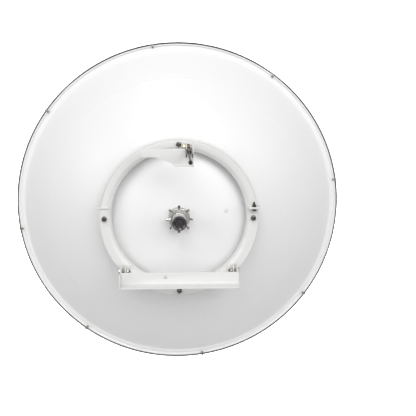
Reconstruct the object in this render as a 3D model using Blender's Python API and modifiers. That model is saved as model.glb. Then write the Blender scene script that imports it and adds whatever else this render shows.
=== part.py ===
"""Microwave dish antenna, 1.2 m, with its mounting ring, mast cradle and elevation adjuster.

The origin is on the dish side of the cradle's upright web, where a mast of 114 mm stands,
level with the elevation axis. +Y is the way the dish looks, +Z is up, and +X is to the
right for someone standing behind the dish.

Every piece is drawn in the dish's own frame: x to the right, y up and z backwards from the
rim, with the dish axis at x = y = 0. A turn of 90 degrees about X brings it into the world.
"""
from math import cos, pi, radians, sin, sqrt

import bmesh
import bpy
from mathutils import Matrix, Vector

# Reflector
APERTURE_RADIUS = 0.572      # where the bowl meets the rim flange
DISH_DEPTH = 0.262
SHELL_WALL = 0.0025
FLANGE_WIDTH = 0.018
BEAD_HEIGHT = 0.0035
LIP_WIDTH = 0.0067
LIP_DEPTH = 0.022
FEED_HOLE_RADIUS = 0.0265
ROUND_STEPS = 72
BOWL_STEPS = 9
GAP = 0.0003                 # between pieces that touch

# Rim hoop and clips
HOOP_WALL = 0.003
HOOP_DEPTH = 0.028
HOOP_RISE = 0.002
CLIP_COUNT = 8
CLIP_PHASE = radians(8.7)
CLIP_WIDTH = 0.008
CLIP_WALL = 0.002
CLIP_REACH = 0.014
CLIP_DROP = 0.012
CLIP_SCREW_RADIUS = 0.0035
CLIP_FLOAT = 0.0011          # strap's foot above the rim flange


def bowl_back(radius):
    """How far the bowl's back lies behind the rim plane at a radius."""
    return DISH_DEPTH * (1 - (radius / APERTURE_RADIUS) ** 2)


# Mounting ring, a pressed channel in two halves
RING_CIRCLE = 0.2615         # circle of its bolts
RING_HEIGHT = 0.0623         # its face above the bowl's back
RING_HALF_WIDTH = 0.021
RING_WALL = 0.003
RING_DEPTH = 0.0475
RING_TAPER = 0.009
RING_STEP = 0.0065           # width of the upper half's outer strip
RING_STEP_DEPTH = 0.0275
RING_SKIRT = 0.030
FOLD = 0.002                 # folded corners
RING_LOWER_TRIM = 0.0025     # the lower half is this much smaller outside
STANDOFF_RADIUS = 0.010
RING_FACE = bowl_back(RING_CIRCLE) + RING_HEIGHT
RING_INNER = RING_CIRCLE - RING_HALF_WIDTH
RING_OUTER = RING_CIRCLE + RING_HALF_WIDTH

# Joint of the ring's two halves
JOINT_HEIGHT = 0.0385
JOINT_PLATE = 0.003
JOINT_INSET = 0.004          # plates inside the ring's inner edge
JOINT_OVERHANG = 0.0015      # and outside its outer edge
JOINT_BOLT_SHIFT = 0.001     # right bolt outside the bolt circle
HIDDEN_BOLT_SHIFT = 0.008    # left bolt inside it, within the channel
RIGHT_PLATE_SUNK = 0.027     # right plates below the ring's face and above it
RIGHT_PLATE_RISE = 0.024
RIGHT_BOLT_RISE = 0.013
LEFT_PLATE_SUNK = 0.041
LEFT_PLATE_RISE = 0.0045
LEFT_BOLT_SUNK = 0.018
JOINT_INNER = RING_INNER + JOINT_INSET
JOINT_OUTER = RING_OUTER + JOINT_OVERHANG
RIGHT_JOINT_BOLT_X = RING_CIRCLE + JOINT_BOLT_SHIFT
LEFT_JOINT_BOLT_X = RING_CIRCLE - HIDDEN_BOLT_SHIFT
RIGHT_JOINT_FRONT = RING_FACE - RIGHT_PLATE_SUNK
RIGHT_JOINT_BACK = RING_FACE + RIGHT_PLATE_RISE
RIGHT_JOINT_BOLT_BACK = RING_FACE + RIGHT_BOLT_RISE
LEFT_JOINT_FRONT = RING_FACE - LEFT_PLATE_SUNK
LEFT_JOINT_BACK = RING_FACE + LEFT_PLATE_RISE
LEFT_JOINT_BOLT_BACK = RING_FACE - LEFT_BOLT_SUNK

# Fasteners: shank radius, width across flats, nut height, washer radius and thickness
M10 = {"shank": 0.005, "flats": 0.016, "nut": 0.008, "washer": 0.0092, "washer_wall": 0.002}
M8 = {"shank": 0.004, "flats": 0.013, "nut": 0.0065, "washer": 0.0082, "washer_wall": 0.0016}
HOLE_PLAY = 0.0004           # radial play of a bolt in its hole
HEAD_HEIGHT = 0.0065
STUB = 0.006                 # thread past a nut
STANDOFF_BORE = 0.025

# Lugs on the ring's lower half, and the elevation axis through them
LUG_ANGLE = radians(44)
LUG_SHIFT = 0.002            # outside the bolt circle
LUG_CIRCLE = RING_CIRCLE + LUG_SHIFT
LUG_X = LUG_CIRCLE * cos(LUG_ANGLE)
AXIS_DROP = LUG_CIRCLE * sin(LUG_ANGLE)
LUG_HEIGHT = 0.034
LUG_FOOT = 0.020
LUG_CORNER = 0.010
SPACER_RADIUS = 0.0065
PIVOT_RISE = 0.027           # pivot bolts above the ring's face
LUG_REACH = 0.014            # and the lugs beyond them
PIVOT_BACK = RING_FACE + PIVOT_RISE
LUG_BACK = PIVOT_BACK + LUG_REACH

# Mast seat
MAST_RADIUS = 0.057
MAST_CLEARANCE = 0.016       # mast to the ring's face
MAST_OFFSET = 0.112          # dish axis to the right of the mast's centreline
SEAT_BACK = RING_FACE + MAST_CLEARANCE + 2 * MAST_RADIUS

# Cradle: angle-section cross member and two arms
STEEL = 0.004
CROSS_HEIGHT = 0.044
CROSS_FLANGE = 0.051         # flange's reach behind the web
BEND_RADIUS = 0.004
WEB_HOLE_RADIUS = 0.0065
WEB_HOLE_X = 0.049           # left of the dish axis
WEB_HOLE_HEIGHT = 0.005      # above the elevation axis
ARM_LEFT_GAP = 0.0135        # each arm's plate to its lug, middle to middle
ARM_RIGHT_GAP = 0.0105
ARM_CLEARANCE = 0.011        # arms' noses to the ring's face
ARM_NOSE = 0.012
ARM_LEFT = LUG_X + ARM_LEFT_GAP
ARM_RIGHT = LUG_X + ARM_RIGHT_GAP
ARM_FRONT = RING_FACE + ARM_CLEARANCE
CROSS_LEFT = ARM_LEFT - STEEL / 2 - GAP
CROSS_RIGHT = ARM_RIGHT + STEEL / 2

# Top bracket, adjuster fork and rod
ROD_X = 0.032
ROD_SINK = 0.005             # rod's pivot below the bolt circle
ROD_RISE = 0.030             # and above the ring's face
ROD_HEIGHT = RING_CIRCLE - ROD_SINK
ROD_RADIUS = 0.003
ROD_PLAY = 0.001             # rod in its nuts, its slot and its fork
ROD_PIVOT_BACK = RING_FACE + ROD_RISE
ROD_LENGTH = 0.355
ROD_END_BACK = ROD_PIVOT_BACK + ROD_LENGTH
EYE_RADIUS = 0.0105
EYE_WALL = 0.007
BRACKET_ABOVE = 0.0078       # heights over or under the rod
BRACKET_BELOW = 0.050
TONGUE_BELOW = 0.0205
SLOPE_BELOW = 0.0395
FIN_ABOVE = 0.0265
BRACKET_TO_LEFT = 0.160      # widths to the left and right of the rod
SHOULDER_TO_LEFT = 0.113
SLOPE_TO_LEFT = 0.0595
FOOT_TO_LEFT = 0.049
BRACKET_TO_RIGHT = 0.0162
BRACKET_TOP = ROD_HEIGHT + BRACKET_ABOVE
BRACKET_BOTTOM = ROD_HEIGHT - BRACKET_BELOW
BRACKET_TONGUE = ROD_HEIGHT - TONGUE_BELOW
BRACKET_SLOPE = ROD_HEIGHT - SLOPE_BELOW
BRACKET_FIN_TOP = ROD_HEIGHT + FIN_ABOVE
BRACKET_LEFT = ROD_X - BRACKET_TO_LEFT
BRACKET_SHOULDER = ROD_X - SHOULDER_TO_LEFT
BRACKET_SLOPE_X = ROD_X - SLOPE_TO_LEFT
BRACKET_FOOT_X = ROD_X - FOOT_TO_LEFT
BRACKET_RIGHT = ROD_X + BRACKET_TO_RIGHT
BRACKET_FIN_REACH = 0.012
BRACKET_SILL_REACH = 0.010
FORK_HALF_WIDTH = 0.0118
FORK_WALL = 0.004
FORK_HEIGHT = 0.012
FORK_BASE_HEIGHT = 0.016
FORK_REACH = 0.104
ADJUSTER_NUT = {"flats": 0.013, "nut": 0.0065, "washer": 0.0088, "washer_wall": 0.0016}
CAP_RADIUS = 0.0066
CAP_LENGTH = 0.013
CAP_GRIP = 0.008
TOP_LUG_HEIGHT = 0.022
TOP_LUG_REACH = 0.012
TOP_LUG_CORNER = 0.006
EYE_SIDE_PLAY = 0.0005

# Feed and its collar
FEED_RADIUS = 0.0242
FEED_WALL = 0.0025
COLLAR_BASE_RADIUS = 0.0385
COLLAR_BASE = 0.006
COLLAR_RADIUS = 0.0355
COLLAR_CHAMFER = 0.0015
COLLAR_HEIGHT = 0.0265
COLLAR_SCREW_HEIGHT = 0.0215
PORT_HEIGHT = 0.027
COLLAR_BACK = DISH_DEPTH + COLLAR_HEIGHT
COLLAR_SCREW_BACK = DISH_DEPTH + COLLAR_SCREW_HEIGHT
PORT_BACK = DISH_DEPTH + PORT_HEIGHT
COLLAR_SCREWS = 8
SCREW_RADIUS = 0.0025
SCREW_FLATS = 0.008
SCREW_REACH = 0.0485
SCREW_HEAD = 0.0068
PORT_RADIUS = 0.0075
PORT_REACH = 0.0465
SOCKET_RADIUS = 0.0247
SOCKET_LENGTH = 0.0195
SOCKET_HEIGHT = 0.1025
SOCKET_BACK = DISH_DEPTH + SOCKET_HEIGHT
SOCKET_FRONT = SOCKET_BACK - SOCKET_LENGTH
SOCKET_RECESS = 0.008
SOCKET_WALL = 0.003
SOCKET_PIN_RADIUS = 0.006
SOCKET_PIN_RISE = 0.004
FOCAL_LENGTH = APERTURE_RADIUS ** 2 / (4 * DISH_DEPTH)
SPLASH_SHIFT = 0.004         # splash plate behind the focus
SPLASH_BACK = DISH_DEPTH - FOCAL_LENGTH + SPLASH_SHIFT
SPLASH_RADIUS = 0.055
SPLASH_WALL = 0.006
CONE_LENGTH = 0.050
CONE_RADIUS = 0.048
CONE_NECK = 0.012
FEED_FRONT = SPLASH_BACK + CONE_LENGTH
BEVEL = 0.001

DISH_FRAME = Matrix.Translation((MAST_OFFSET, SEAT_BACK, AXIS_DROP)) @ Matrix.Rotation(pi / 2, 4, "X")


def clear_scene():
    for old in list(bpy.data.objects):
        bpy.data.objects.remove(old, do_unlink=True)


def new_collection(name):
    made = bpy.data.collections.new(name)
    bpy.context.scene.collection.children.link(made)
    return made


def material(name, colour, roughness, metallic):
    made = bpy.data.materials.new(name)
    made.use_nodes = True
    shader = made.node_tree.nodes["Principled BSDF"]
    shader.inputs["Base Color"].default_value = (*colour, 1.0)
    shader.inputs["Roughness"].default_value = roughness
    shader.inputs["Metallic"].default_value = metallic
    made.diffuse_color = (*colour, 1.0)
    return made


def empty(name, place):
    made = bpy.data.objects.new(name, None)
    made.location = DISH_FRAME @ Vector(place)
    made.empty_display_size = 0.05
    antenna.objects.link(made)
    bpy.context.view_layer.update()
    return made


def finish(piece, name, look, body):
    """Names a piece drawn in the dish's frame, colours it and hangs it on its body's empty."""
    piece.name = name
    piece.data.name = name
    piece.data.materials.clear()
    piece.data.materials.append(look)
    piece.data.shade_smooth()
    piece.data.set_sharp_from_angle(angle=radians(32))
    piece.matrix_world = DISH_FRAME
    piece.parent = body
    piece.matrix_parent_inverse = body.matrix_world.inverted()
    return piece


def mesh_object(name, shape, home=None):
    mesh = bpy.data.meshes.new(name)
    shape.to_mesh(mesh)
    shape.free()
    made = bpy.data.objects.new(name, mesh)
    (home or antenna).objects.link(made)
    return made


def baked(piece):
    """Applies a piece's modifiers, or a curve's bevel and caps, and keeps the result as a mesh."""
    bpy.context.view_layer.update()
    graph = bpy.context.evaluated_depsgraph_get()
    mesh = bpy.data.meshes.new_from_object(piece.evaluated_get(graph))
    shape = bmesh.new()
    shape.from_mesh(mesh)
    bmesh.ops.remove_doubles(shape, verts=shape.verts, dist=0.000002)
    bmesh.ops.recalc_face_normals(shape, faces=shape.faces)
    shape.to_mesh(mesh)
    shape.free()
    made = bpy.data.objects.new(piece.name + "_solid", mesh)
    made.matrix_world = piece.matrix_world.copy()
    antenna.objects.link(made)
    bpy.data.objects.remove(piece, do_unlink=True)
    return made


def turned(profile, closed=True, steps=ROUND_STEPS, wall=None):
    """Turns a profile of (radius, back) points about the dish axis."""
    shape = bmesh.new()
    points = [shape.verts.new((radius, 0, back)) for radius, back in profile]
    for first, second in zip(points, points[1:]):
        shape.edges.new((first, second))
    if closed:
        shape.edges.new((points[-1], points[0]))
    made = mesh_object("turned", shape)
    screw = made.modifiers.new("turn", "SCREW")
    screw.steps = steps
    screw.render_steps = steps
    screw.use_merge_vertices = True
    screw.merge_threshold = 0.00001
    screw.use_normal_calculate = True
    if wall:
        solid = made.modifiers.new("wall", "SOLIDIFY")
        solid.thickness = wall
        solid.offset = -1
        solid.use_even_offset = True
    return baked(made)


def block(low, high):
    """A box between two corners in the dish's frame."""
    low = Vector(low)
    high = Vector(high)
    shape = bmesh.new()
    bmesh.ops.create_cube(shape, size=1.0)
    bmesh.ops.scale(shape, vec=high - low, verts=shape.verts)
    bmesh.ops.translate(shape, vec=(low + high) / 2, verts=shape.verts)
    return mesh_object("block", shape)


AXIS_TURNS = {
    "x": Matrix.Rotation(pi / 2, 4, "Y"),
    "y": Matrix.Rotation(-pi / 2, 4, "X"),
    "z": Matrix.Identity(4),
}


def rod(axis, start, end, radius, centre, sides=12, spin=0.0):
    """A cylinder along x, y or z of the dish's frame, spun about itself by an angle."""
    shape = bmesh.new()
    bmesh.ops.create_cone(shape, cap_ends=True, segments=sides, radius1=radius, radius2=radius,
                          depth=end - start)
    bmesh.ops.translate(shape, vec=(0, 0, (start + end) / 2), verts=shape.verts)
    bmesh.ops.rotate(shape, cent=(0, 0, 0), matrix=Matrix.Rotation(spin, 3, "Z"), verts=shape.verts)
    bmesh.ops.transform(shape, matrix=Matrix.Translation(centre) @ AXIS_TURNS[axis], verts=shape.verts)
    return mesh_object("rod", shape)


def hexagon(axis, start, end, flats, centre, spin=pi / 6):
    return rod(axis, start, end, flats / sqrt(3), centre, sides=6, spin=spin)


def plate(outline, thickness, middle, plane):
    """A flat outline with a thickness. The outline lies in x and y for plane z, or in
    back and up for plane x, and middle is the plate's place along that axis."""
    curve = bpy.data.curves.new("outline", "CURVE")
    curve.dimensions = "2D"
    curve.fill_mode = "BOTH"
    curve.extrude = thickness / 2
    spline = curve.splines.new("POLY")
    spline.points.add(len(outline) - 1)
    for point, (across, up) in zip(spline.points, outline):
        point.co = (across, up, 0, 1)
    spline.use_cyclic_u = True
    made = bpy.data.objects.new("plate", curve)
    antenna.objects.link(made)
    solid = baked(made)
    if plane == "x":
        turn = Matrix.Translation((middle, 0, 0)) @ Matrix.Rotation(-pi / 2, 4, "Y")
    else:
        turn = Matrix.Translation((0, 0, middle))
    solid.data.transform(turn)
    return solid


def arc(centre, radius, start, end, steps):
    """Points on an arc, from one angle to another in degrees."""
    angles = [radians(start + (end - start) * step / steps) for step in range(steps + 1)]
    return [(centre[0] + radius * cos(angle), centre[1] + radius * sin(angle)) for angle in angles]


def boolean(piece, others, operation):
    """Joins other solids to a piece, or cuts them out of it."""
    for other in others:
        step = piece.modifiers.new(operation.lower(), "BOOLEAN")
        step.operation = operation
        step.object = other
        step.solver = "EXACT"
    made = baked(piece)
    for other in others:
        bpy.data.objects.remove(other, do_unlink=True)
    return made


def fused(solids):
    return boolean(solids[0], solids[1:], "UNION")


def drilled(piece, holes):
    return boolean(piece, holes, "DIFFERENCE")


def turned_about_axis(piece, angle):
    piece.data.transform(Matrix.Rotation(angle, 4, "Z"))
    return piece


def bowl_profile(first, rise=0.0):
    """Points of the bowl's back, from the rim in to a first radius."""
    radii = [first + (APERTURE_RADIUS - first) * step / BOWL_STEPS for step in range(BOWL_STEPS + 1)]
    return [(radius, bowl_back(radius) + rise) for radius in reversed(radii)]


def bowl_form():
    """A solid of the bowl's space, used to fit feet to its back."""
    body = bowl_profile(FEED_HOLE_RADIUS, GAP / cos(radians(25)))
    base = -LIP_DEPTH
    return turned([(0, body[-1][1])] + body[::-1] + [(APERTURE_RADIUS, base), (0, base)], closed=False)


def make_reflector():
    flange_edge = APERTURE_RADIUS + FLANGE_WIDTH
    lip = flange_edge + LIP_WIDTH
    rim = [
        (lip, -LIP_DEPTH),
        (lip, 0.0),
        (flange_edge + LIP_WIDTH * 0.55, BEAD_HEIGHT),
        (flange_edge, 0.0008),
        (APERTURE_RADIUS + 0.003, 0.0),
    ]
    shell = turned((rim + bowl_profile(FEED_HOLE_RADIUS))[::-1], closed=False, wall=SHELL_WALL)
    return finish(shell, "reflector", white_paint, dish_body)


def make_rim_hoop():
    inner = APERTURE_RADIUS + FLANGE_WIDTH + LIP_WIDTH + GAP
    outer = inner + HOOP_WALL
    ring = turned([(outer, HOOP_RISE), (outer, HOOP_RISE - HOOP_DEPTH),
                   (inner, HOOP_RISE - HOOP_DEPTH), (inner, HOOP_RISE)])
    return finish(ring, "rim_hoop", bare_metal, dish_body)


def make_rim_clips():
    """Small straps that hook over the hoop and are screwed down on the rim flange."""
    outside = APERTURE_RADIUS + FLANGE_WIDTH + LIP_WIDTH + HOOP_WALL + 2 * GAP
    tip = outside + CLIP_WALL
    foot = tip - CLIP_REACH - CLIP_WALL
    over = BEAD_HEIGHT + 2 * GAP
    back = over + CLIP_WALL
    outline = [(back, foot), (back, tip), (back - CLIP_DROP, tip), (back - CLIP_DROP, outside),
               (over, outside), (over, foot + CLIP_WALL), (CLIP_FLOAT, foot + CLIP_WALL),
               (CLIP_FLOAT, foot)]
    for number in range(CLIP_COUNT):
        strap = plate(outline, CLIP_WIDTH, 0, "x")
        head = rod("z", over + 0.0005, back + CLIP_WALL, CLIP_SCREW_RADIUS,
                   (0, foot + CLIP_WIDTH / 2, 0), sides=10)
        clip = turned_about_axis(fused([strap, head]),
                                 CLIP_PHASE + 2 * pi * (number / CLIP_COUNT - 1 / 4))
        finish(clip, f"rim_clip_{number + 1}", zinc, dish_body)


def ring_section(upper):
    """The ring's pressed section, from its outer edge to the toe by the dish."""
    if upper:
        step = RING_OUTER - RING_STEP
        step_back = RING_FACE - RING_STEP_DEPTH
        outside = [(RING_OUTER, step_back), (step + FOLD, step_back), (step, RING_FACE - FOLD),
                   (step - FOLD, RING_FACE)]
    else:
        edge = RING_OUTER - RING_LOWER_TRIM
        outside = [(edge, RING_FACE - RING_SKIRT), (edge, RING_FACE - FOLD), (edge - FOLD, RING_FACE)]
    inside = [(RING_INNER + FOLD, RING_FACE), (RING_INNER, RING_FACE - FOLD),
              (RING_INNER - RING_TAPER, RING_FACE - RING_DEPTH)]
    return outside + inside


def joint_plates(front, back, side, height):
    """One half's end plate at a joint, on the left or right side of the ring."""
    low, high = sorted((side * JOINT_INNER, side * JOINT_OUTER))
    return block((low, height, front), (high, height + JOINT_PLATE, back))


def make_ring_half(upper):
    full = turned(ring_section(upper)[::-1], closed=False, wall=RING_WALL)
    reach = 2 * RING_OUTER
    level = JOINT_HEIGHT + (GAP / 2 if upper else -GAP / 2)
    if upper:
        unwanted = block((-reach, -reach, 0), (reach, level, reach))
        plate_height = level
    else:
        unwanted = block((-reach, level, 0), (reach, reach, reach))
        plate_height = level - JOINT_PLATE
    half = drilled(full, [unwanted])
    ends = [joint_plates(RIGHT_JOINT_FRONT, RIGHT_JOINT_BACK, 1, plate_height),
            joint_plates(LEFT_JOINT_FRONT, LEFT_JOINT_BACK, -1, plate_height)]
    half = fused([half] + ends)
    hole = M8["shank"] + HOLE_PLAY
    span = (JOINT_HEIGHT - 3 * JOINT_PLATE, JOINT_HEIGHT + 3 * JOINT_PLATE)
    holes = [rod("y", *span, hole, (RIGHT_JOINT_BOLT_X, 0, RIGHT_JOINT_BOLT_BACK)),
             rod("y", *span, hole, (-LEFT_JOINT_BOLT_X, 0, LEFT_JOINT_BOLT_BACK))]
    for angle in ring_bolt_angles(upper):
        holes.append(turned_about_axis(
            rod("z", RING_FACE - 3 * RING_WALL, RING_FACE + RING_WALL, M10["shank"] + HOLE_PLAY,
                (RING_CIRCLE, 0, 0)), angle))
    half = drilled(half, holes)
    return finish(half, "ring_upper" if upper else "ring_lower", white_paint, dish_body)


def ring_bolt_angles(upper):
    return [pi / 2] if upper else [0, pi, 3 * pi / 2]


RING_BOLTS = {"right": 0, "top": pi / 2, "left": pi, "bottom": 3 * pi / 2}


def make_ring_bolts():
    """Bolts that hold the ring to threaded standoffs on the dish's back."""
    under_face = RING_FACE - RING_WALL - GAP
    bore_end = under_face - STANDOFF_BORE
    foot = bowl_back(RING_CIRCLE + 2 * STANDOFF_RADIUS)
    for name, angle in RING_BOLTS.items():
        place = (RING_CIRCLE, 0, 0)
        post = rod("z", foot, under_face, STANDOFF_RADIUS, place, sides=20)
        bore = rod("z", bore_end, RING_FACE, M10["shank"] + HOLE_PLAY, place)
        post = drilled(post, [bowl_form(), bore])
        finish(turned_about_axis(post, angle), f"standoff_{name}", white_paint, dish_body)

        washer_back = RING_FACE + GAP + M10["washer_wall"]
        nut_back = washer_back + M10["nut"]
        bolt = fused([
            rod("z", bore_end + RING_WALL, nut_back + STUB, M10["shank"], place),
            rod("z", RING_FACE + GAP, washer_back, M10["washer"], place, sides=14),
            hexagon("z", washer_back - 0.0005, nut_back, M10["flats"], place),
        ])
        finish(turned_about_axis(bolt, angle), f"ring_bolt_{name}", zinc, dish_body)


def clamp_bolt(axis, sign, near, far, spot, size, head=HEAD_HEIGHT, stub=STUB, collars=()):
    """A bolt through plates that lie between near and far along an axis. Its head is on the
    near side, its nut on the far one, and sign says which way far lies from near."""
    wall = size["washer_wall"]
    shank_start = near - sign * (GAP + wall)
    nut_start = far + sign * (GAP + wall)
    nut_end = nut_start + sign * size["nut"]

    def along(kind, first, second, *more, **kw):
        low, high = sorted((first, second))
        return kind(axis, low, high, *more, spot, **kw)

    lap = sign * 0.0004
    solids = [
        along(rod, shank_start, nut_end + sign * stub, size["shank"]),
        along(rod, shank_start, near - sign * GAP, size["washer"], sides=14),
        along(hexagon, shank_start - sign * head, shank_start + lap, size["flats"]),
        along(rod, far + sign * GAP, nut_start, size["washer"], sides=14),
        along(hexagon, nut_start - lap, nut_end, size["flats"]),
    ]
    for first, second, radius in collars:
        solids.append(along(rod, first, second, radius))
    return fused(solids)


def make_joint_bolts():
    low = JOINT_HEIGHT - GAP / 2 - JOINT_PLATE
    high = JOINT_HEIGHT + GAP / 2 + JOINT_PLATE
    right_spot = (RIGHT_JOINT_BOLT_X, 0, RIGHT_JOINT_BOLT_BACK)
    right = clamp_bolt("y", 1, low, high, right_spot, M8, stub=0.009)
    finish(right, "joint_bolt_right", zinc, dish_body)
    left = clamp_bolt("y", 1, low, high, (-LEFT_JOINT_BOLT_X, 0, LEFT_JOINT_BOLT_BACK), M8)
    finish(left, "joint_bolt_left", zinc, dish_body)


def make_pivot_lug(side, name):
    """An angle piece on the ring's face, whose upright leaf takes the pivot bolt."""
    half = STEEL / 2
    base = RING_FACE + GAP
    low = -AXIS_DROP - LUG_HEIGHT / 2
    high = -AXIS_DROP + LUG_HEIGHT / 2
    corner = LUG_CORNER
    start = base + BEVEL
    leaf = plate([(start, low), (LUG_BACK - corner, low), (LUG_BACK, low + corner),
                  (LUG_BACK, high - corner), (LUG_BACK - corner, high), (start, high)],
                 STEEL, side * LUG_X, "x")
    outer, inner = side * (LUG_X + half - BEVEL), side * (LUG_X - LUG_FOOT)
    foot = block((min(outer, inner), low + BEVEL, base), (max(outer, inner), high - BEVEL, base + STEEL))
    lug = fused([leaf, foot])
    hole = rod("x", -STEEL, STEEL, M10["shank"] + HOLE_PLAY, (side * LUG_X, -AXIS_DROP, PIVOT_BACK))
    return finish(drilled(lug, [hole]), name, white_paint, dish_body)


def make_top_lug():
    low = ROD_HEIGHT - TOP_LUG_HEIGHT / 2
    high = ROD_HEIGHT + TOP_LUG_HEIGHT / 2
    base = RING_FACE + GAP
    back = ROD_PIVOT_BACK + TOP_LUG_REACH
    corner = TOP_LUG_CORNER
    middle = ROD_X - EYE_WALL / 2 - EYE_SIDE_PLAY - STEEL / 2
    leaf = plate([(base, low), (back - corner, low), (back, low + corner), (back, high - corner),
                  (back - corner, high), (base, high)], STEEL, middle, "x")
    hole = rod("x", -STEEL, STEEL, M10["shank"] + HOLE_PLAY, (middle, ROD_HEIGHT, ROD_PIVOT_BACK))
    finish(drilled(leaf, [hole]), "top_lug", white_paint, dish_body)

    near = ROD_X + EYE_WALL / 2 + GAP
    far = middle - STEEL / 2
    bolt = clamp_bolt("x", -1, near, far, (0, ROD_HEIGHT, ROD_PIVOT_BACK), M10, head=0.006, stub=0.003)
    finish(bolt, "top_pivot_bolt", yellow_zinc, dish_body)


def make_cross_member():
    """An angle section: an upright web the mast stands against, and a flange behind it."""
    top = -AXIS_DROP + CROSS_HEIGHT / 2
    bottom = -AXIS_DROP - CROSS_HEIGHT / 2
    web_back = SEAT_BACK + STEEL
    flange_back = web_back + CROSS_FLANGE
    outline = [(SEAT_BACK, top), (SEAT_BACK, bottom + BEND_RADIUS)]
    outline += arc((SEAT_BACK + BEND_RADIUS, bottom + BEND_RADIUS), BEND_RADIUS, 180, 270, 4)[1:]
    outline += [(flange_back, bottom), (flange_back, bottom + STEEL)]
    inner = BEND_RADIUS * 0.75
    outline += arc((web_back + inner, bottom + STEEL + inner), inner, 270, 180, 4)
    outline += [(web_back, top)]
    length = CROSS_LEFT + CROSS_RIGHT
    bar = plate(outline, length, (CROSS_RIGHT - CROSS_LEFT) / 2, "x")
    hole = rod("z", SEAT_BACK - STEEL, web_back + STEEL, WEB_HOLE_RADIUS,
               (-WEB_HOLE_X, -AXIS_DROP + WEB_HOLE_HEIGHT, 0), sides=20)
    return finish(drilled(bar, [hole]), "cross_member", white_paint, mast_body)


def make_arm(side, middle, back, name):
    """A plate from the cross member forward to a pivot bolt."""
    top = -AXIS_DROP + CROSS_HEIGHT / 2
    bottom = -AXIS_DROP - CROSS_HEIGHT / 2
    nose = ARM_NOSE
    outline = [(ARM_FRONT, top), (ARM_FRONT, bottom + nose), (ARM_FRONT + nose, bottom),
               (back, bottom), (back, top)]
    arm = plate(outline, STEEL, side * middle, "x")
    hole = rod("x", -STEEL, STEEL, M10["shank"] + HOLE_PLAY, (side * middle, -AXIS_DROP, PIVOT_BACK))
    return finish(drilled(arm, [hole]), name, white_paint, mast_body)


def make_pivot_bolt(side, arm, name):
    """The elevation pivot: head outside the arm, spacer between arm and lug, nut inside."""
    near = side * (arm + STEEL / 2)
    far = side * (LUG_X - STEEL / 2)
    spacer = (side * (arm - STEEL / 2 - GAP), side * (LUG_X + STEEL / 2 + GAP), SPACER_RADIUS)
    bolt = clamp_bolt("x", -side, near, far, (0, -AXIS_DROP, PIVOT_BACK), M10, head=0.006,
                      stub=0.005, collars=[spacer])
    return finish(bolt, name, zinc, mast_body)


def make_top_bracket():
    """A plate against the mast's back, with a slot that the adjuster rod drops into."""
    front = SEAT_BACK
    back = SEAT_BACK + STEEL
    slot = ROD_RADIUS + ROD_PLAY
    right = BRACKET_RIGHT - BEVEL
    outline = [(right, BRACKET_BOTTOM), (right, BRACKET_TOP), (ROD_X + slot, BRACKET_TOP)]
    outline += arc((ROD_X, ROD_HEIGHT), slot, 0, -180, 12)
    outline += [(ROD_X - slot, BRACKET_TOP), (BRACKET_LEFT, BRACKET_TOP), (BRACKET_LEFT, BRACKET_TONGUE),
                (BRACKET_SHOULDER, BRACKET_TONGUE), (BRACKET_SLOPE_X, BRACKET_SLOPE),
                (BRACKET_FOOT_X, BRACKET_BOTTOM)]
    web = plate(outline, STEEL, (front + back) / 2, "z")
    fin = block((BRACKET_RIGHT - STEEL, BRACKET_BOTTOM - 2 * BEVEL, front + BEVEL),
                (BRACKET_RIGHT, BRACKET_FIN_TOP, back + BRACKET_FIN_REACH))
    sill = block((BRACKET_FOOT_X + BEVEL, BRACKET_BOTTOM - BEVEL, front + 2 * BEVEL),
                 (right - BEVEL, BRACKET_BOTTOM + STEEL - BEVEL, back + BRACKET_SILL_REACH))
    return finish(fused([web, fin, sill]), "top_bracket", white_paint, mast_body)


def make_fork():
    """A U-shaped fork on the bracket's back that guides the rod."""
    front = SEAT_BACK + STEEL + GAP
    back = front + FORK_REACH
    half = FORK_HALF_WIDTH
    base = block((ROD_X - half, ROD_HEIGHT - FORK_BASE_HEIGHT / 2, front),
                 (ROD_X + half, ROD_HEIGHT + FORK_BASE_HEIGHT / 2, front + FORK_WALL))
    prongs = []
    for side in (-1, 1):
        low, high = sorted((ROD_X + side * half, ROD_X + side * (half - FORK_WALL)))
        prongs.append(block((low, ROD_HEIGHT - FORK_HEIGHT / 2, front),
                            (high, ROD_HEIGHT + FORK_HEIGHT / 2, back)))
    fork = fused([base] + prongs)
    hole = rod("z", front - FORK_WALL, front + 2 * FORK_WALL, ROD_RADIUS + ROD_PLAY,
               (ROD_X, ROD_HEIGHT, 0), sides=24)
    return finish(drilled(fork, [hole]), "adjuster_fork", zinc, mast_body)


def make_adjuster_nuts():
    """A nut and washer on each side of the bracket and fork."""
    size = ADJUSTER_NUT
    faces = {"front": (SEAT_BACK - GAP, -1),
             "back": (SEAT_BACK + STEEL + 2 * GAP + FORK_WALL, 1)}
    for name, (face, side) in faces.items():
        washer_end = face + side * size["washer_wall"]
        nut_end = washer_end + side * size["nut"]
        washer_reach = size["washer"] if side < 0 else FORK_HALF_WIDTH - FORK_WALL - GAP
        low, high = sorted((face, washer_end))
        washer = rod("z", low, high, washer_reach, (ROD_X, ROD_HEIGHT, 0), sides=16)
        low, high = sorted((washer_end - side * 0.0004, nut_end))
        nut = hexagon("z", low, high, size["flats"], (ROD_X, ROD_HEIGHT, 0), spin=0)
        bore = rod("z", SEAT_BACK - FORK_REACH, SEAT_BACK + FORK_REACH, ROD_RADIUS + ROD_PLAY,
                   (ROD_X, ROD_HEIGHT, 0), sides=24)
        made = drilled(fused([nut, washer]), [bore])
        finish(made, f"adjuster_nut_{name}", zinc, mast_body)


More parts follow.
